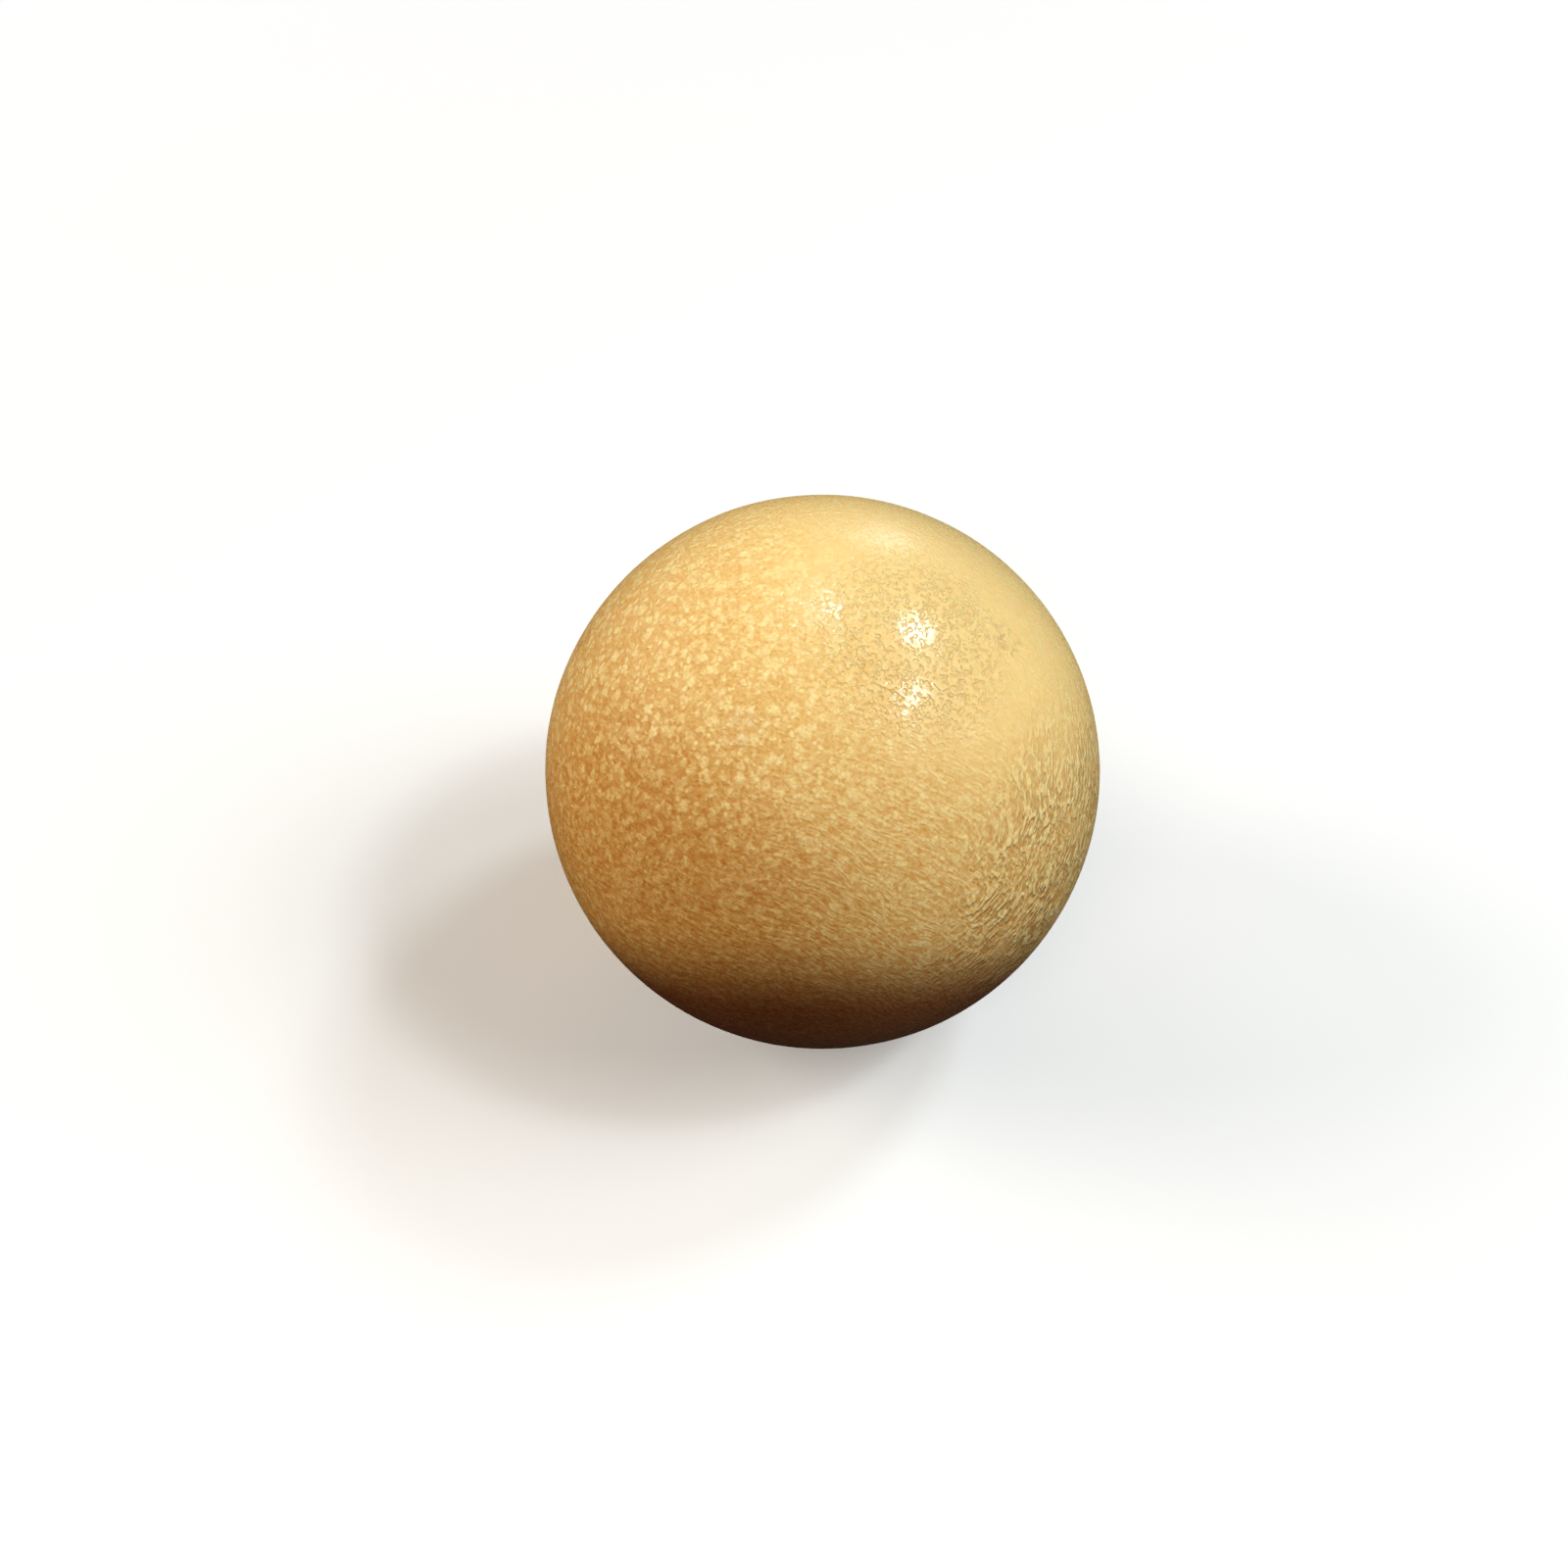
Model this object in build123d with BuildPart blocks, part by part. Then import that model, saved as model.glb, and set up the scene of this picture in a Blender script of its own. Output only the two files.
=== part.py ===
from build123d import *
import os
from math import cos, sin, radians

# Wound golf ball: a fluid-filled rubber centre, two windings of stretched rubber thread and a
# smooth cover moulded on as two half shells. Millimetres, +Z up through the poles of the cover
# halves, origin at the centre of the ball. Every layer is seated on the layer inside it.

# Driving dimensions
BALL_DIAMETER = 42.7  # just over the 42.67 mm minimum that the game allows
COVER_WALL = 1.6  # smooth cover, with the same wall in both halves
CENTRE_DIAMETER = 25.4  # outside of the rubber sac
SAC_WALL = 2.0  # rubber wall of the sac
PLUG_DIAMETER = 3.2  # hole through which the sac is filled
INNER_WINDING_WALL = 2.0  # broad thread, wound at low tension
BOND_FILM = 0.04  # rubber cement between one layer and the next

# Radii of the layers, from the outside in and from the centre out
ball_radius = BALL_DIAMETER / 2
cover_inner_radius = ball_radius - COVER_WALL
outer_winding_radius = cover_inner_radius - BOND_FILM
sac_outer_radius = CENTRE_DIAMETER / 2
sac_inner_radius = sac_outer_radius - SAC_WALL
fluid_radius = sac_inner_radius - BOND_FILM
inner_winding_bore = sac_outer_radius + BOND_FILM
inner_winding_radius = inner_winding_bore + INNER_WINDING_WALL
outer_winding_bore = inner_winding_radius + BOND_FILM
plug_radius = PLUG_DIAMETER / 2 - BOND_FILM

# Elevations in the XZ plane, in degrees from the equator
SOUTH_POLE = -90
EQUATOR = 0
NORTH_POLE = 90


def on_circle(radius, elevation):
    """The point at this elevation on a circle about the centre of the ball."""
    return (radius * cos(radians(elevation)), radius * sin(radians(elevation)))


def disc_sector(radius, low, high):
    """Slice of a disc between two elevations, with its point at the centre of the ball."""
    with BuildSketch(mode=Mode.PRIVATE) as sector:
        with BuildLine():
            Line((0, 0), on_circle(radius, low))
            CenterArc((0, 0), radius, low, high - low)
            Line(on_circle(radius, high), (0, 0))
        make_face()
    return sector.sketch


def ring_sector(inner_radius, outer_radius, low, high):
    """Section of a spherical layer between two elevations."""
    with BuildSketch(mode=Mode.PRIVATE) as section:
        with BuildLine():
            CenterArc((0, 0), outer_radius, low, high - low)
            Line(on_circle(outer_radius, high), on_circle(inner_radius, high))
            CenterArc((0, 0), inner_radius, low, high - low)
            Line(on_circle(inner_radius, low), on_circle(outer_radius, low))
        make_face()
    return section.sketch


# Fluid that fills the sac
with BuildPart() as centre_fluid:
    with BuildSketch(Plane.XZ):
        add(disc_sector(fluid_radius, SOUTH_POLE, NORTH_POLE))
    revolve(axis=Axis.Z)
centre_fluid.part.label = "centre_fluid"

# Rubber sac: a hollow sphere, with its filling hole at the upper pole
with BuildPart() as centre_sac:
    with BuildSketch(Plane.XZ):
        add(ring_sector(sac_inner_radius, sac_outer_radius, SOUTH_POLE, NORTH_POLE))
    revolve(axis=Axis.Z)
    with BuildSketch(Plane.XY):
        Circle(PLUG_DIAMETER / 2)
    extrude(amount=BALL_DIAMETER / 2, mode=Mode.SUBTRACT)
centre_sac.part.label = "centre_sac"

# Plug that closes the filling hole, flush with the sac inside and out
with BuildPart() as sac_plug:
    with BuildSketch(Plane.XY):
        Circle(plug_radius)
    extrude(amount=BALL_DIAMETER / 2)
    with BuildSketch(Plane.XZ):
        add(ring_sector(sac_inner_radius, sac_outer_radius, EQUATOR, NORTH_POLE))
    revolve(axis=Axis.Z, mode=Mode.INTERSECT)
sac_plug.part.label = "sac_plug"

# Broad rubber thread wound round the sac
with BuildPart() as inner_thread_winding:
    with BuildSketch(Plane.XZ):
        add(ring_sector(inner_winding_bore, inner_winding_radius, SOUTH_POLE, NORTH_POLE))
    revolve(axis=Axis.Z)
inner_thread_winding.part.label = "inner_thread_winding"

# Fine rubber thread wound tight over it, up to the cover
with BuildPart() as outer_thread_winding:
    with BuildSketch(Plane.XZ):
        add(ring_sector(outer_winding_bore, outer_winding_radius, SOUTH_POLE, NORTH_POLE))
    revolve(axis=Axis.Z)
outer_thread_winding.part.label = "outer_thread_winding"

# Cover halves, which meet edge to edge at the equator
with BuildPart() as upper_cover_half:
    with BuildSketch(Plane.XZ):
        add(ring_sector(cover_inner_radius, ball_radius, EQUATOR, NORTH_POLE))
    revolve(axis=Axis.Z)
upper_cover_half.part.label = "upper_cover_half"

with BuildPart() as lower_cover_half:
    mirror(upper_cover_half.part, about=Plane.XY)
lower_cover_half.part.label = "lower_cover_half"

# One STEP file per piece, from the centre out
os.makedirs("parts", exist_ok=True)
pieces = [
    centre_fluid,
    centre_sac,
    sac_plug,
    inner_thread_winding,
    outer_thread_winding,
    upper_cover_half,
    lower_cover_half,
]
for piece in pieces:
    export_step(piece.part, f"parts/{piece.part.label}.step")
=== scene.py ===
from math import cos, degrees, pi, radians, sin, sqrt
from random import Random

import bpy
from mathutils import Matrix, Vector


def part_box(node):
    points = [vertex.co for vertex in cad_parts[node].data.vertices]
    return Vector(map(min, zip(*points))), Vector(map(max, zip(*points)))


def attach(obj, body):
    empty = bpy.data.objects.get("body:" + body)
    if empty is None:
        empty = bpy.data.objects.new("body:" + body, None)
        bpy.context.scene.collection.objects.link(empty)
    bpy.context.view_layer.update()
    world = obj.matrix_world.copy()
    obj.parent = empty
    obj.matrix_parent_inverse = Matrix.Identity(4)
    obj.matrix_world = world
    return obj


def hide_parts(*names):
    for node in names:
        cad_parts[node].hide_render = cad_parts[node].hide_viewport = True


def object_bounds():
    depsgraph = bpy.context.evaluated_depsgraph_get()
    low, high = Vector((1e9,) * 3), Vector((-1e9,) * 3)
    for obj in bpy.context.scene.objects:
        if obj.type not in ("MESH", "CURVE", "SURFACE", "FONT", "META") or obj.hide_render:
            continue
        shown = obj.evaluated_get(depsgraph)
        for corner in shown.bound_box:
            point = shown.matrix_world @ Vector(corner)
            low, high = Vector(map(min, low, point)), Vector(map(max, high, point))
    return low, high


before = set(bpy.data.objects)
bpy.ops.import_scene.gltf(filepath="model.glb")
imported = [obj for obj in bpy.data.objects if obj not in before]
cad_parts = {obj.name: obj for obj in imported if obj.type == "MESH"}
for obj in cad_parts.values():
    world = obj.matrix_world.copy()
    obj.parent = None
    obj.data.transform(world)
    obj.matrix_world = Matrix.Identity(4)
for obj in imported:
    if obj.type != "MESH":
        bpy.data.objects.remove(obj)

bl_info = {
    "name": "Smooth wound golf ball",
    "version": (1, 0, 0),
    "blender": (4, 5, 0),
    "location": "View3D > Sidebar > Golf Ball",
    "description": "Models and finishes a smooth, natural-covered wound golf ball",
    "category": "Object",
}

CAD_BOX = [list(corner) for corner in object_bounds()]
BALL_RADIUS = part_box("upper_cover_half")[1].z
WINDING_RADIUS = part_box("outer_thread_winding")[1].z
INNER_WINDING_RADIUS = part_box("inner_thread_winding")[1].z
CENTRE_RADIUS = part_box("centre_sac")[1].z
MM = 0.001
FILM = 0.04 * MM
SHARP_EDGE = radians(40)
LAYERS = 8
LAYER_SEED = 7


def linear(code):
    """An sRGB hex colour, as the three linear values that the shaders take."""
    channels = [int(code[i : i + 2], 16) / 255 for i in (1, 3, 5)]
    return tuple(c / 12.92 if c <= 0.04045 else ((c + 0.055) / 1.055) ** 2.4 for c in channels)


def direction(longitude, latitude):
    """The unit vector at this longitude and latitude, in degrees, as on a globe with its pole up."""
    lon, lat = radians(longitude), radians(latitude)
    return Vector((cos(lat) * cos(lon), cos(lat) * sin(lon), sin(lat)))


# ---------------------------------------------------------------------------------------------
# Sizes and colours that a user would change
# ---------------------------------------------------------------------------------------------


def length(name, description, default):
    """A size in metres that a user would change."""
    return bpy.props.FloatProperty(
        name=name, description=description, default=default, min=0, unit="LENGTH", precision=5
    )


def colour(name, description, code):
    """A colour that a user would change, given as sRGB hex."""
    return bpy.props.FloatVectorProperty(
        name=name, description=description, default=linear(code), size=3, min=0, max=1, subtype="COLOR"
    )


class CoverSettings(bpy.types.PropertyGroup):
    """Shape and finish of the cover"""

    wall: length("Wall", "Thickness of the cover", BALL_RADIUS - WINDING_RADIUS - FILM)
    out_of_round: length("Out of round", "Height of the unevenness left by hand buffing", 0.10 * MM)
    ripple: length("Ripple", "Height of the fine undulation under the polish", 0.012 * MM)
    fleck_spacing: length("Fleck spacing", "Distance between the pale flecks of the stock", 1.02 * MM)
    pit_spacing: length("Pit spacing", "Distance between the pits in the polish", 0.24 * MM)
    # The pale colour is painted light: it paints the crown under the lamps lighter
    pale: colour("Pale stock", "Where handling has kept the skin clean", "#F5D38A")
    middle: colour("Stock", "The usual colour of the aged skin", "#E3B366")
    # The amber is a real yellowed stain, and low on the left side and in the furrows it is also painted
    # warm shade
    amber: colour("Amber", "Stain where the skin has yellowed most", "#E6CAA0")
    # The patina colour is the brown patina in the furrows and the smudge, and at full strength on the
    # underside it is painted shade
    patina_and_shade: colour("Patina", "Stain of the brown patina where the ball has rested", "#8E6B5E")
    scuff: colour("Scuff", "Rubbed spot, dull and pale", "#EFD9C4")
    # The fleck colour also paints the glints, as painted highlights
    fleck: colour("Flecks", "The pale flecks and streaks", "#FFECAA")


class WindingSettings(bpy.types.PropertyGroup):
    """Rubber thread under the cover"""

    fine_width: length("Fine thread", "Width of the outer winding's thread", 1.6 * MM)
    broad_width: length("Broad thread", "Width of the inner winding's thread", 3.0 * MM)
    thickness: length("Thread thickness", "Thickness of the stretched thread", 0.45 * MM)
    layer_step: length("Layer step", "How far one turn lies above another", 0.11 * MM)
    fine_turns: bpy.props.IntProperty(
        name="Fine turns", description="Turns that show on the outer winding", default=96, min=1
    )
    broad_turns: bpy.props.IntProperty(
        name="Broad turns", description="Turns that show on the inner winding", default=46, min=1
    )
    fine_thread: colour("Fine thread", "Pure gum rubber", "#CDB48C")
    broad_thread: colour("Broad thread", "Darker gum rubber", "#BA9C70")
    aged_thread: colour("Aged thread", "Where the thread has darkened", "#96764F")


class StageSettings(bpy.types.PropertyGroup):
    """Floor, lamps and camera"""

    camera_height: bpy.props.FloatProperty(
        name="Camera height",
        description="Elevation of the camera above the ball",
        default=radians(48),
        subtype="ANGLE",
    )
    camera_distance: length("Camera distance", "From the lens to the centre of the ball", 122.7 * MM)
    aim_left: length("Aim left", "How far left of the ball the camera is aimed", 2.9 * MM)
    aim_low: length("Aim low", "How far below the ball's centre the camera is aimed", 1.02 * MM)
    floor: colour("Floor", "Pale matt board", "#F2F1EE")
    fade_from: length("Fade from", "Where the floor starts to fade into the surround", 70 * MM)
    fade_to: length("Fade to", "Where the floor has faded into the surround", 260 * MM)


# ---------------------------------------------------------------------------------------------
# Tools for the pieces and their materials
# ---------------------------------------------------------------------------------------------


def add_node(tree, kind, inputs=None, output=0, **settings):
    """Adds a node with its settings, sets or links each input, and gives one of its outputs."""
    node = tree.nodes.new(kind)
    for name, value in settings.items():
        setattr(node, name, value)
    for name, value in (inputs or {}).items():
        if isinstance(value, bpy.types.NodeSocket):
            tree.links.new(value, node.inputs[name])
        else:
            node.inputs[name].default_value = value
    return node.outputs[output] if len(node.outputs) else node


def new_material(name):
    """A new material and its node tree, still empty."""
    material = bpy.data.materials.new(name)
    material.use_nodes = True
    material.node_tree.nodes.clear()
    return material, material.node_tree


def millimetres(tree):
    """Object coordinates in millimetres."""
    place = add_node(tree, "ShaderNodeTexCoord", output="Object")
    return add_node(
        tree, "ShaderNodeMapping", {"Vector": place, "Scale": (MM, MM, MM)}, vector_type="TEXTURE"
    )


def apply_modifiers(piece):
    """Makes every modifier's result part of the mesh, in order."""
    bpy.context.view_layer.objects.active = piece
    for modifier in list(piece.modifiers):
        bpy.ops.object.modifier_apply(modifier=modifier.name)


def deselect():
    """Leaves nothing selected, so that the next operator acts only on what it adds."""
    bpy.ops.object.select_all(action="DESELECT")


def finish_piece(piece, material, slot, *nodes):
    """Gives a piece its material, puts it under the root body and hides the CAD nodes that it stands
    for.
    """
    piece.data.materials.clear()
    piece.data.materials.append(material)
    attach(piece, "root")
    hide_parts(*nodes)


# ---------------------------------------------------------------------------------------------
# Materials
# ---------------------------------------------------------------------------------------------


def patch(tree, outward, middle, inner, outer):
    """1 within the inner angle of a patch's middle, falling to 0 at the outer angle."""
    nearness = add_node(
        tree,
        "ShaderNodeVectorMath",
        {0: outward, 1: middle},
        output="Value",
        operation="DOT_PRODUCT",
    )
    return add_node(
        tree,
        "ShaderNodeMapRange",
        {"Value": nearness, "From Min": cos(radians(outer)), "From Max": cos(radians(inner))},
        interpolation_type="SMOOTHSTEP",
    )


def blotches(tree, position, size_mm, low, high, detail=1.0):
    """Soft-edged blotches of about this size: 1 inside them and 0 between."""
    clouds = add_node(
        tree, "ShaderNodeTexNoise", {"Vector": position, "Scale": 1 / size_mm, "Detail": detail}
    )
    return add_node(
        tree,
        "ShaderNodeMapRange",
        {"Value": clouds, "From Min": low, "From Max": high},
        interpolation_type="SMOOTHSTEP",
    )


def dots(tree, position, spacing_mm, outer, inner):
    """Soft round dots about this far apart: 1 within the inner share of the spacing of a centre."""
    distance = add_node(tree, "ShaderNodeTexVoronoi", {"Vector": position, "Scale": 1 / spacing_mm})
    return add_node(
        tree,
        "ShaderNodeMapRange",
        {"Value": distance, "From Min": outer, "From Max": inner},
        interpolation_type="SMOOTHSTEP",
    )


def weighed(tree, share, mask, least, most):
    """A share that counts for least where the mask is 0 and for most where it is 1."""
    strength = add_node(tree, "ShaderNodeMapRange", {"Value": mask, "To Min": least, "To Max": most})
    return add_node(tree, "ShaderNodeMath", {0: share, 1: strength}, operation="MULTIPLY")


def lay_over(tree, skin, coat, share, strength=1.0, way="MIX"):
    """Lays a colour over the skin by this share, or stains the skin with it."""
    amount = add_node(tree, "ShaderNodeMath", {0: share, 1: strength}, operation="MULTIPLY")
    return add_node(
        tree,
        "ShaderNodeMix",
        {"Factor": amount, 6: skin, 7: (*coat, 1)},
        output=2,
        data_type="RGBA",
        blend_type=way,
    )


def stirred_up(tree, place, size_mm, reach_mm, detail=1.0):
    """Coordinates pushed about by up to this reach, in eddies of about this size."""
    push = add_node(
        tree,
        "ShaderNodeTexNoise",
        {"Vector": place, "Scale": 1 / size_mm, "Detail": detail},
        output=1,
    )
    return add_node(
        tree,
        "ShaderNodeVectorMath",
        {0: push, 1: (reach_mm, reach_mm, reach_mm), 2: place},
        operation="MULTIPLY_ADD",
    )


def round_pole(tree, position, pole, side, ratio, bend=0.0):
    """Coordinates in which a blotch is drawn out by this ratio along the rings round a pole.

    The bend curls the rings, most of all far out along the side that is given.
    """
    shares = []
    for axis in (side / ratio, pole.cross(side) / ratio, pole):
        shares.append(
            add_node(
                tree,
                "ShaderNodeVectorMath",
                {0: position, 1: axis},
                output="Value",
                operation="DOT_PRODUCT",
            )
        )
    cubed = add_node(tree, "ShaderNodeMath", {0: shares[0], 1: 3.0}, operation="POWER")
    curl = bend * ratio**3 / (BALL_RADIUS / MM) ** 2
    bent = add_node(tree, "ShaderNodeMath", {0: cubed, 1: curl, 2: shares[2]}, operation="MULTIPLY_ADD")
    return add_node(tree, "ShaderNodeCombineXYZ", {0: shares[0], 1: shares[1], 2: bent})


# The stock flowed round this pole when it was moulded, and crept into ridges round the other.
FLOW_POLE = direction(60.6, 41.2)
RIDGE_POLE = direction(-100, 42)
FLOW_SIDE = FLOW_POLE.cross(RIDGE_POLE).normalized()
RIDGE_SIDE = RIDGE_POLE.orthogonal().normalized()

# Middles of the cover's patches: where the stock stood still in the mould, was drawn into ridges, or
# was pressed even, and where it is mottled, stained, pitted or marked. Some patches hold painted light
# and shade: the crown under the lamps is painted paler, the low left side is stained yellow and also
# painted with warm shade, and the underside is painted darker with shade. The bright specks are painted
# glints.
STILL_STOCK = direction(-155, 54)
DRAWN_STOCK = direction(-30, 1)
EVEN_STOCK = direction(5, 60)
LIT_CROWN = direction(35, 60)
MOTTLED_SIDE = direction(-126, 6)
YELLOWED_AND_SHADED_SIDE = direction(-128, -4)
SHADED_UNDERSIDE = direction(-88, -44)
PITTED_CROWN = direction(-42, 68)
PAINTED_GLINT_SPOT = direction(-82, 33)
SCUFFED_SPOT = direction(-114, 53)
SMUDGED_SPOT = direction(-12, 53)

# Relief of the cover: how high the flecks stand and how deep the pits go, in metres, and how
# high the streaks and ridges stand beside a fleck
FLECK_HEIGHT = 0.026 * MM
PIT_DEPTH = 0.09 * MM
STREAK_RISE = 0.6
RIDGE_RISE = 6.0


def cover_material(settings):
    """Aged natural cover stock, moulded, buffed and polished.

    The stock is pale amber with lighter flecks, round where it stood still in the mould and
    drawn out into streaks and ridges where it flowed. The polish is satin and full of fine pits,
    which break its highlights up.
    """
    material, tree = new_material("Aged natural cover stock, buffed and polished")
    place = millimetres(tree)
    outward = add_node(tree, "ShaderNodeVectorMath", {0: place}, operation="NORMALIZE")
    stirred = stirred_up(tree, place, 4.0, 1.6)
    ragged = stirred_up(tree, place, 0.45, 0.6, 1.5)

    # How the stock flowed: even, still or drawn into ridges, and how lively its figure is there
    calm = patch(tree, outward, EVEN_STOCK, 16, 50)
    still = patch(tree, outward, STILL_STOCK, 24, 58)
    drawn = patch(tree, outward, DRAWN_STOCK, 10, 46)
    drawn = weighed(tree, drawn, blotches(tree, place, 4.0, 0.36, 0.6), 0.5, 1.0)
    lively = add_node(tree, "ShaderNodeMapRange", {"Value": calm, "To Min": 1.0, "To Max": 0.3})

    # Figure of the stock: round flecks of two sizes, fine streaks, ridges and mottles
    spacing = settings.fleck_spacing / MM
    flecks = add_node(
        tree,
        "ShaderNodeMath",
        {
            0: dots(tree, ragged, 0.88 * spacing, 0.53, 0.2),
            1: dots(tree, ragged, 0.6 * spacing, 0.48, 0.16),
        },
        operation="MAXIMUM",
    )
    flecks = weighed(tree, flecks, still, 0.25, 1.0)
    flecks = add_node(tree, "ShaderNodeMath", {0: flecks, 1: lively}, operation="MULTIPLY")
    flowed = round_pole(tree, stirred, FLOW_POLE, FLOW_SIDE, 4.0, 0.25)
    fibres = blotches(tree, flowed, 0.2 * spacing, 0.35, 0.7)
    fibres = weighed(tree, fibres, still, 1.0, 0.4)
    streaks = add_node(tree, "ShaderNodeMath", {0: fibres, 1: lively}, operation="MULTIPLY")
    crept = round_pole(tree, stirred, RIDGE_POLE, RIDGE_SIDE, 3.4)
    waves = blotches(tree, crept, 0.24 * spacing, 0.4, 0.6)
    ridges = weighed(tree, waves, drawn, 0.0, 1.0)
    # The furrows are the low ground between the raised ridges
    furrow_stain_and_shade = add_node(tree, "ShaderNodeMath", {0: drawn, 1: ridges}, operation="SUBTRACT")
    mottles = blotches(tree, ragged, 0.48 * spacing, 0.38, 0.6)
    mottles = weighed(tree, mottles, patch(tree, outward, MOTTLED_SIDE, 20, 56), 0.0, 1.0)

    # Wear: grit in the polish, round pits, a scuff and a smudge, and painted glints: bright specks of
    # fleck colour
    pit_mm = settings.pit_spacing / MM
    grit = blotches(tree, place, pit_mm, 0.3, 0.75, 2.0)
    specks = add_node(tree, "ShaderNodeMath", {0: grit, 1: lively}, operation="MULTIPLY")
    pitting = patch(tree, outward, PITTED_CROWN, 8, 24)
    pits = weighed(tree, dots(tree, ragged, 1.5 * pit_mm, 0.55, 0.25), pitting, 0.1, 1.0)
    painted_glint_area = patch(tree, outward, PAINTED_GLINT_SPOT, 8, 26)
    painted_glints = weighed(tree, dots(tree, place, 0.82 * spacing, 0.1, 0.05), painted_glint_area, 0, 1)
    scuff = weighed(tree, fibres, patch(tree, outward, SCUFFED_SPOT, 1, 4.5), 0, 1)
    worn = blotches(tree, ragged, 0.5, 0.45, 0.6)
    smudge = weighed(tree, worn, patch(tree, outward, SMUDGED_SPOT, 0, 4.5), 0, 1)

    # Colour: the painted light on the crown, the figure on the stock, then the stains and the painted
    # shade, then the marks and the painted glints
    # Painted light: the crown under the lamps is painted paler, fading towards the sides
    painted_crown_light = patch(tree, outward, LIT_CROWN, 15, 85)
    skin = lay_over(tree, (*settings.middle, 1), settings.pale, painted_crown_light)
    skin = lay_over(tree, skin, settings.fleck, flecks, 0.85)
    skin = lay_over(tree, skin, settings.fleck, streaks, 0.65)
    # The pale ridges and the darker furrows are the stock's figure and stain, and also painted light on
    # the ridges and painted shade in the furrows
    skin = lay_over(tree, skin, settings.fleck, ridges, 0.9)
    skin = lay_over(tree, skin, settings.amber, furrow_stain_and_shade, 0.5, "MULTIPLY")
    skin = lay_over(tree, skin, settings.patina_and_shade, furrow_stain_and_shade, 0.2, "MULTIPLY")
    skin = lay_over(tree, skin, settings.amber, mottles, 0.65, "MULTIPLY")
    skin = lay_over(tree, skin, settings.scuff, scuff, 0.8)
    # Yellowed stain low on the left side, which is also painted warm shade near the edge of the light
    yellowing_and_warm_shade = patch(tree, outward, YELLOWED_AND_SHADED_SIDE, 14, 60)
    skin = lay_over(tree, skin, settings.amber, yellowing_and_warm_shade, 0.65, "MULTIPLY")
    # Painted shade: the underside is darkened with the patina colour
    painted_underside_shade = patch(tree, outward, SHADED_UNDERSIDE, 38, 63)
    skin = lay_over(tree, skin, settings.patina_and_shade, painted_underside_shade, 1.0, "MULTIPLY")
    skin = lay_over(tree, skin, settings.amber, specks, 0.85, "MULTIPLY")
    skin = lay_over(tree, skin, settings.patina_and_shade, smudge, 0.3, "MULTIPLY")
    # Painted glints: tiny bright dots of fleck colour near the middle
    skin = lay_over(tree, skin, settings.fleck, painted_glints, 0.9)

    # Relief and polish, smoothest at the crown, where the round pits are
    heights = add_node(
        tree, "ShaderNodeMath", {0: streaks, 1: STREAK_RISE, 2: flecks}, operation="MULTIPLY_ADD"
    )
    heights = add_node(
        tree, "ShaderNodeMath", {0: ridges, 1: RIDGE_RISE, 2: heights}, operation="MULTIPLY_ADD"
    )
    grain = add_node(
        tree, "ShaderNodeBump", {"Height": heights, "Strength": 1.0, "Distance": FLECK_HEIGHT}
    )
    pitted = add_node(
        tree,
        "ShaderNodeBump",
        {"Height": pits, "Strength": 1.0, "Distance": -PIT_DEPTH, "Normal": grain},
    )
    rough = add_node(tree, "ShaderNodeMapRange", {"Value": pitting, "To Min": 0.24, "To Max": 0.13})
    rough = add_node(tree, "ShaderNodeMath", {0: grit, 1: 0.08, 2: rough}, operation="MULTIPLY_ADD")
    surface = add_node(
        tree,
        "ShaderNodeBsdfPrincipled",
        {
            "Base Color": skin,
            "Roughness": rough,
            "IOR": 1.5,
            "Normal": pitted,
            "Subsurface Weight": 0.2,
            "Subsurface Radius": (1.0, 0.45, 0.2),
            "Subsurface Scale": 1.0 * MM,
        },
    )
    add_node(tree, "ShaderNodeOutputMaterial", {"Surface": surface})
    return material


def thread_material(name, fresh, aged, crease_mm):
    """Pure gum rubber thread, calendered, slit and wound under tension.

    It is tan and a little waxy, brown where it has aged, with fine creases left by the stretch.
    """
    material, tree = new_material(name)
    place = millimetres(tree)
    darkened = blotches(tree, place, 2.4, 0.35, 0.65, 3.0)
    creases = blotches(tree, place, crease_mm, 0.35, 0.65, 2.0)
    skin = lay_over(tree, (*fresh, 1), aged, darkened, 0.6)
    skin = lay_over(tree, skin, aged, creases, 0.4)
    bump = add_node(tree, "ShaderNodeBump", {"Height": creases, "Strength": 0.6, "Distance": 0.03 * MM})
    rough = add_node(tree, "ShaderNodeMapRange", {"Value": darkened, "To Min": 0.45, "To Max": 0.65})
    surface = add_node(
        tree,
        "ShaderNodeBsdfPrincipled",
        {"Base Color": skin, "Roughness": rough, "IOR": 1.52, "Normal": bump},
    )
    add_node(tree, "ShaderNodeOutputMaterial", {"Surface": surface})
    return material


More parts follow.
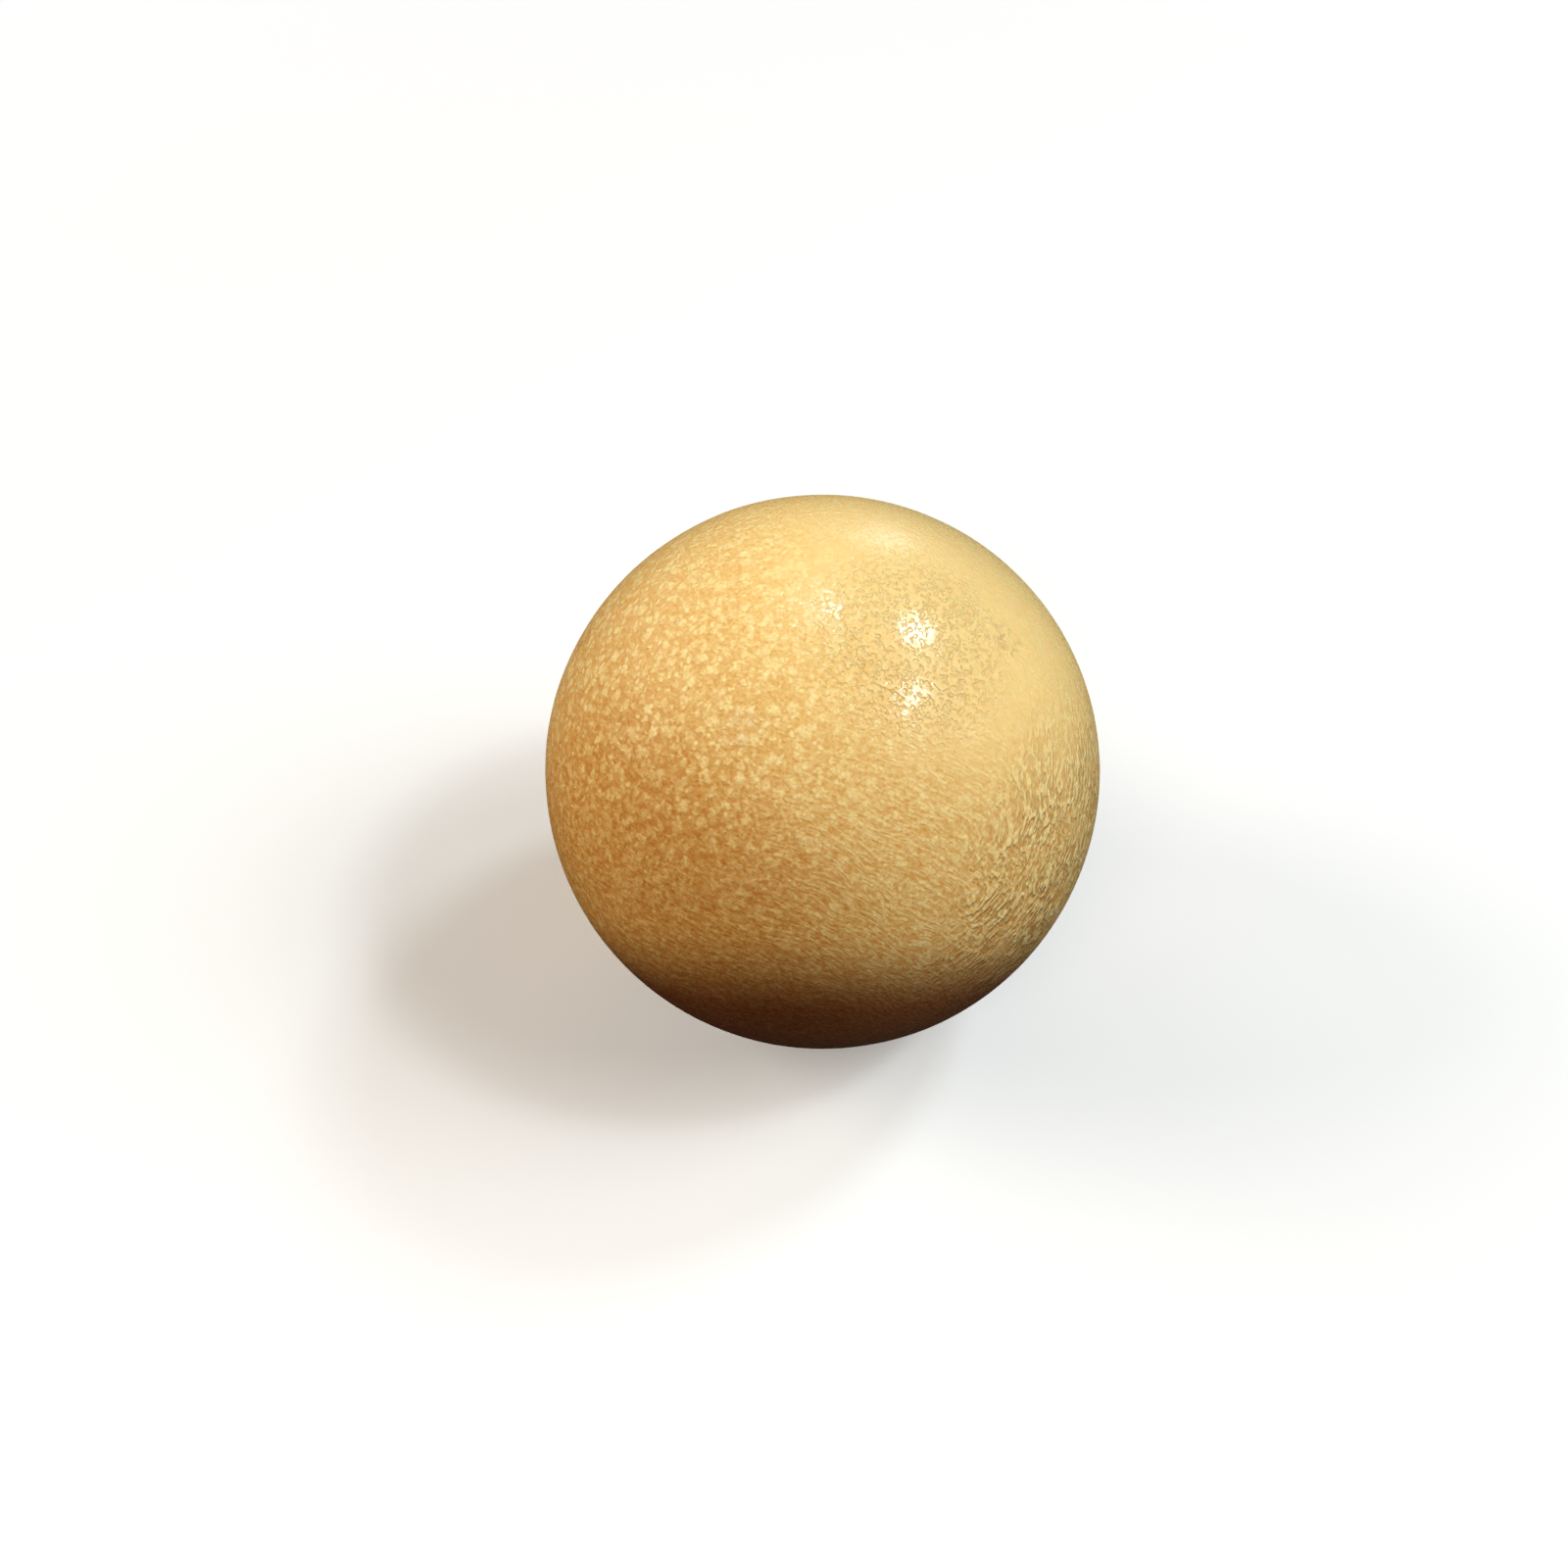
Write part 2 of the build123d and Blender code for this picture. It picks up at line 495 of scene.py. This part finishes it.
def rubber_material(name, body, bloom, grain_mm):
    """Moulded and vulcanised rubber: dark and dull, with a paler bloom of sulphur."""
    material, tree = new_material(name)
    place = millimetres(tree)
    dusty = blotches(tree, place, 3.1, 0.45, 0.75, 3.0)
    grain = blotches(tree, place, grain_mm, 0.3, 0.7, 2.0)
    skin = lay_over(tree, (*linear(body), 1), linear(bloom), dusty, 0.5)
    skin = lay_over(tree, skin, linear(bloom), grain, 0.15)
    bump = add_node(tree, "ShaderNodeBump", {"Height": grain, "Strength": 0.5, "Distance": 0.02 * MM})
    rough = add_node(tree, "ShaderNodeMapRange", {"Value": dusty, "To Min": 0.55, "To Max": 0.8})
    surface = add_node(
        tree,
        "ShaderNodeBsdfPrincipled",
        {"Base Color": skin, "Roughness": rough, "IOR": 1.52, "Normal": bump},
    )
    add_node(tree, "ShaderNodeOutputMaterial", {"Surface": surface})
    return material


def fluid_material():
    """Thick paste of clay, glycerine and water: wet, grey-green and slightly streaked."""
    material, tree = new_material("Thick clay and glycerine paste")
    place = millimetres(tree)
    swirls = blotches(tree, place, 4.0, 0.3, 0.7, 3.0)
    lumps = blotches(tree, place, 0.8, 0.4, 0.7, 1.0)
    skin = lay_over(tree, (*linear("#B2BAB3"), 1), linear("#8C978E"), swirls, 0.7)
    bump = add_node(tree, "ShaderNodeBump", {"Height": lumps, "Strength": 0.4, "Distance": 0.03 * MM})
    rough = add_node(tree, "ShaderNodeMapRange", {"Value": swirls, "To Min": 0.12, "To Max": 0.3})
    surface = add_node(
        tree,
        "ShaderNodeBsdfPrincipled",
        {"Base Color": skin, "Roughness": rough, "IOR": 1.45, "Normal": bump},
    )
    add_node(tree, "ShaderNodeOutputMaterial", {"Surface": surface})
    return material


# ---------------------------------------------------------------------------------------------
# Pieces
# ---------------------------------------------------------------------------------------------


def add_ball(name, radius, finer):
    """A ball of even square faces, with no poles."""
    deselect()
    bpy.ops.mesh.primitive_cube_add(size=2 * radius / sqrt(3), enter_editmode=True)
    bpy.ops.mesh.subdivide(number_cuts=3)
    bpy.ops.object.mode_set(mode="OBJECT")
    ball = bpy.context.active_object
    ball.name = name
    smooth = ball.modifiers.new("Finer", "SUBSURF")
    smooth.levels = smooth.render_levels = finer
    rounder = ball.modifiers.new("Round", "CAST")
    rounder.factor = 1
    rounder.size = radius
    rounder.use_radius_as_size = False
    apply_modifiers(ball)
    return ball


def add_turn(radius, width, thickness):
    """One turn of flat thread round a great circle, its edges rounded and its ends meeting."""
    deselect()
    bpy.ops.mesh.primitive_cylinder_add(
        vertices=40, radius=radius, depth=width, end_fill_type="NOTHING", enter_editmode=True
    )
    bpy.ops.mesh.subdivide(number_cuts=1)
    bpy.ops.object.mode_set(mode="OBJECT")
    turn = bpy.context.active_object
    crown = turn.modifiers.new("Crown", "CAST")
    crown.cast_type = "SPHERE"
    crown.factor = 1
    crown.size = radius
    crown.use_radius_as_size = False
    wall = turn.modifiers.new("Thickness", "SOLIDIFY")
    wall.thickness = thickness
    wall.offset = -1
    edges = turn.modifiers.new("Rounded edges", "BEVEL")
    edges.width = 0.3 * thickness
    edges.segments = 1
    edges.limit_method = "ANGLE"
    apply_modifiers(turn)
    return turn


def add_winding(name, inner, outer, width, turns, settings):
    """A hollow ball of thread, with the turns that show on it laid over one another.

    The turns' axes are spread evenly over half a sphere, and each turn lies on a layer drawn by lot.
    """
    buried = settings.thickness + LAYERS * settings.layer_step
    core = add_ball(name, outer - buried, 3)
    wall = core.modifiers.new("Wound wall", "SOLIDIFY")
    wall.thickness = outer - buried - inner
    wall.offset = -1
    apply_modifiers(core)

    first = add_turn(outer, width, settings.thickness)
    strands = [first]
    for index in range(1, turns):
        deselect()
        first.select_set(True)
        bpy.context.view_layer.objects.active = first
        bpy.ops.object.duplicate()
        strands.append(bpy.context.active_object)
    lot = Random(LAYER_SEED)
    golden_angle = pi * (3 - sqrt(5))
    for index, strand in enumerate(strands):
        height = 1 - (index + 0.5) / turns
        across = sqrt(1 - height**2)
        around = index * golden_angle
        axis = Vector((across * cos(around), across * sin(around), height))
        strand.rotation_euler = axis.to_track_quat("Z", "Y").to_euler()
        strand.scale = [1 - lot.randrange(LAYERS) * settings.layer_step / outer] * 3
        strand.select_set(True)
    core.select_set(True)
    bpy.context.view_layer.objects.active = core
    bpy.ops.object.transform_apply(location=True, rotation=True, scale=True)
    bpy.ops.object.join()
    bpy.ops.object.shade_smooth_by_angle(angle=SHARP_EDGE)
    return core


class BALL_OT_windings(bpy.types.Operator):
    """Wind the broad thread round the centre and the fine thread over it"""

    bl_idname = "golf_ball.windings"
    bl_label = "Thread windings"

    def execute(self, context):
        settings = context.scene.golf_ball_windings
        broad = add_winding(
            "broad_thread_winding",
            CENTRE_RADIUS + FILM,
            INNER_WINDING_RADIUS,
            settings.broad_width,
            settings.broad_turns,
            settings,
        )
        gum = thread_material(
            "Broad gum rubber thread", settings.broad_thread, settings.aged_thread, 0.5
        )
        finish_piece(broad, gum, "broad_thread", "inner_thread_winding")
        fine = add_winding(
            "fine_thread_winding",
            INNER_WINDING_RADIUS + FILM,
            WINDING_RADIUS,
            settings.fine_width,
            settings.fine_turns,
            settings,
        )
        gum = thread_material("Fine gum rubber thread", settings.fine_thread, settings.aged_thread, 0.3)
        finish_piece(fine, gum, "fine_thread", "outer_thread_winding")
        return {"FINISHED"}


class BALL_OT_centre(bpy.types.Operator):
    """Finish the fluid centre: its rubber sac, its plug and what it holds"""

    bl_idname = "golf_ball.centre"
    bl_label = "Fluid centre"

    def execute(self, context):
        finishes = {
            "centre_sac": rubber_material("Moulded sac rubber, vulcanised", "#38322F", "#6E665F", 0.5),
            "sac_plug": rubber_material("Moulded plug rubber, vulcanised", "#80402F", "#A67A69", 0.3),
            "centre_fluid": fluid_material(),
        }
        for node, finish in finishes.items():
            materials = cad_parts[node].data.materials
            materials.clear()
            materials.append(finish)
        return {"FINISHED"}


class BALL_OT_cover(bpy.types.Operator):
    """Model the two halves of the cover, with their joint buffed flush"""

    bl_idname = "golf_ball.cover"
    bl_label = "Cover halves"

    def execute(self, context):
        settings = context.scene.golf_ball_cover
        ball = add_ball("upper_cover", BALL_RADIUS, 5)
        for name, grain, height in (
            ("Out of round", 11 * MM, settings.out_of_round),
            ("Ripple", 1.6 * MM, settings.ripple),
        ):
            clouds = bpy.data.textures.new(name, "CLOUDS")
            clouds.noise_scale = grain
            clouds.noise_depth = 1
            relief = ball.modifiers.new(name, "DISPLACE")
            relief.texture = clouds
            relief.texture_coords = "LOCAL"
            relief.strength = height
            relief.mid_level = 0.5
        apply_modifiers(ball)

        bpy.ops.object.mode_set(mode="EDIT")
        bpy.ops.mesh.select_all(action="DESELECT")
        bpy.ops.mesh.select_mode(type="FACE")
        bpy.ops.object.mode_set(mode="OBJECT")
        for face in ball.data.polygons:
            face.select = face.center.z < 0
        bpy.ops.object.mode_set(mode="EDIT")
        bpy.ops.mesh.separate(type="SELECTED")
        bpy.ops.object.mode_set(mode="OBJECT")
        lower = next(o for o in context.selected_objects if o != ball)
        lower.name = "lower_cover"

        material = cover_material(settings)
        for piece, node in ((ball, "upper_cover_half"), (lower, "lower_cover_half")):
            wall = piece.modifiers.new("Wall", "SOLIDIFY")
            wall.thickness = settings.wall
            wall.offset = -1
            apply_modifiers(piece)
            deselect()
            piece.select_set(True)
            bpy.ops.object.shade_smooth_by_angle(angle=SHARP_EDGE)
            finish_piece(piece, material, "natural_cover", node)
        return {"FINISHED"}


# ---------------------------------------------------------------------------------------------
# Stage
# ---------------------------------------------------------------------------------------------


class BALL_OT_stage(bpy.types.Operator):
    """Lay the floor and set up the lamps, the world and the camera"""

    bl_idname = "golf_ball.stage"
    bl_label = "Stage"

    # Name, longitude, latitude, distance, width, power, colour, lights the skin, seen in the polish
    lamps = (
        ("right_softbox", -6, 44, 0.7, 0.45, 2.8, "#FFFFFF", True, False),
        ("left_softbox", 176, 27, 0.7, 0.45, 3.25, "#FFF6EC", True, False),
        ("front_softbox", -104, 40, 0.7, 0.45, 1.6, "#FFF6EC", True, False),
        ("rim_softbox", 135, 15, 0.7, 0.45, 1.2, "#FFF6EC", True, False),
        ("right_lamp", -10, 56, 0.6, 0.08, 0.66, "#E4F4FF", True, True),
        ("main_lamp", 34.5, 52, 0.6, 0.12, 0.95, "#E4F4FF", True, True),
        ("rear_lamp", 76, 20, 0.6, 0.12, 0.22, "#EEF7FF", False, True),
        ("small_lamp", 89, 66, 0.6, 0.03, 0.55, "#EEF7FF", False, True),
    )

    def execute(self, context):
        settings = context.scene.golf_ball_stage
        deselect()
        bpy.ops.mesh.primitive_plane_add(size=6, location=(0, 0, CAD_BOX[0][2]))
        floor = context.active_object
        floor.name = "floor"
        floor.data.materials.append(floor_material(settings))
        for name, longitude, latitude, distance, width, power, tint, lights, polished in self.lamps:
            where = direction(longitude, latitude)
            bpy.ops.object.light_add(type="AREA", location=where * distance)
            lamp = context.active_object
            lamp.name = name
            lamp.rotation_euler = where.to_track_quat("Z", "Y").to_euler()
            lamp.data.shape = "DISK"
            lamp.data.size = width
            lamp.data.energy = power
            lamp.data.color = linear(tint)
            lamp.visible_diffuse = lights
            lamp.visible_glossy = polished
        add_world(context.scene)
        add_camera(context.scene, settings)
        context.scene.view_settings.view_transform = "Standard"
        return {"FINISHED"}


def floor_material(settings):
    """Pale matt board, which fades into the white surround.

    It is seen pale, but lights the underside of the ball only as much as a dark cloth would.
    """
    material, tree = new_material("Pale matt board")
    seen = add_node(tree, "ShaderNodeLightPath", output="Is Camera Ray")
    shade = lay_over(tree, (*linear("#302C27"), 1), settings.floor, seen)
    board = add_node(tree, "ShaderNodeBsdfDiffuse", {"Color": shade})
    away = add_node(
        tree, "ShaderNodeVectorMath", {0: millimetres(tree)}, output="Value", operation="LENGTH"
    )
    far = add_node(
        tree,
        "ShaderNodeMapRange",
        {"Value": away, "From Min": settings.fade_from / MM, "From Max": settings.fade_to / MM},
        interpolation_type="SMOOTHSTEP",
    )
    faded = add_node(tree, "ShaderNodeMath", {0: far, 1: seen}, operation="MULTIPLY")
    glow = add_node(tree, "ShaderNodeEmission", {"Color": (1, 1, 1, 1), "Strength": 1.0})
    surface = add_node(tree, "ShaderNodeMixShader", {0: faded, 1: board, 2: glow})
    add_node(tree, "ShaderNodeOutputMaterial", {"Surface": surface})
    return material


def add_world(scene):
    """Even light from all round, seen as white."""
    world = bpy.data.worlds.new("Soft white surround")
    scene.world = world
    world.use_nodes = True
    tree = world.node_tree
    tree.nodes.clear()
    seen = add_node(tree, "ShaderNodeLightPath", output="Is Camera Ray")
    strength = add_node(tree, "ShaderNodeMapRange", {"Value": seen, "To Min": 0.06, "To Max": 1.0})
    light = add_node(tree, "ShaderNodeBackground", {"Color": (1, 1, 1, 1), "Strength": strength})
    add_node(tree, "ShaderNodeOutputWorld", {"Surface": light})


def add_camera(scene, settings):
    """Close, high and looking down, with a phone's wide lens."""
    deselect()
    back = direction(-90, degrees(settings.camera_height))
    up = Vector((0, sin(settings.camera_height), cos(settings.camera_height)))
    aim = Vector((-settings.aim_left, 0, 0)) - up * settings.aim_low
    place = back * settings.camera_distance
    turn = (place - aim).to_track_quat("Z", "Y").to_euler()
    bpy.ops.object.camera_add(location=place, rotation=turn)
    camera = bpy.context.active_object
    camera.name = "camera"
    camera.data.sensor_width = 36
    camera.data.lens = 36
    camera.data.clip_start = 0.005
    scene.camera = camera


class VIEW3D_PT_golf_ball(bpy.types.Panel):
    """Lists the ball's sizes and the operators that build it"""

    bl_label = "Golf Ball"
    bl_idname = "VIEW3D_PT_golf_ball"
    bl_space_type = "VIEW_3D"
    bl_region_type = "UI"
    bl_category = "Golf Ball"

    def draw(self, context):
        scene = context.scene
        for settings in (scene.golf_ball_cover, scene.golf_ball_windings, scene.golf_ball_stage):
            for name in settings.__annotations__:
                self.layout.prop(settings, name)
        for operator in OPERATORS:
            self.layout.operator(operator.bl_idname)


OPERATORS = (BALL_OT_cover, BALL_OT_windings, BALL_OT_centre, BALL_OT_stage)
CLASSES = (CoverSettings, WindingSettings, StageSettings, *OPERATORS, VIEW3D_PT_golf_ball)


def register():
    for cls in CLASSES:
        bpy.utils.register_class(cls)
    bpy.types.Scene.golf_ball_cover = bpy.props.PointerProperty(type=CoverSettings)
    bpy.types.Scene.golf_ball_windings = bpy.props.PointerProperty(type=WindingSettings)
    bpy.types.Scene.golf_ball_stage = bpy.props.PointerProperty(type=StageSettings)


def unregister():
    del bpy.types.Scene.golf_ball_stage
    del bpy.types.Scene.golf_ball_windings
    del bpy.types.Scene.golf_ball_cover
    for cls in reversed(CLASSES):
        bpy.utils.unregister_class(cls)


def main():
    """Builds the ball and its stage."""
    register()
    bpy.ops.golf_ball.cover()
    bpy.ops.golf_ball.windings()
    bpy.ops.golf_ball.centre()
    bpy.ops.golf_ball.stage()


if __name__ == "__main__":
    main()
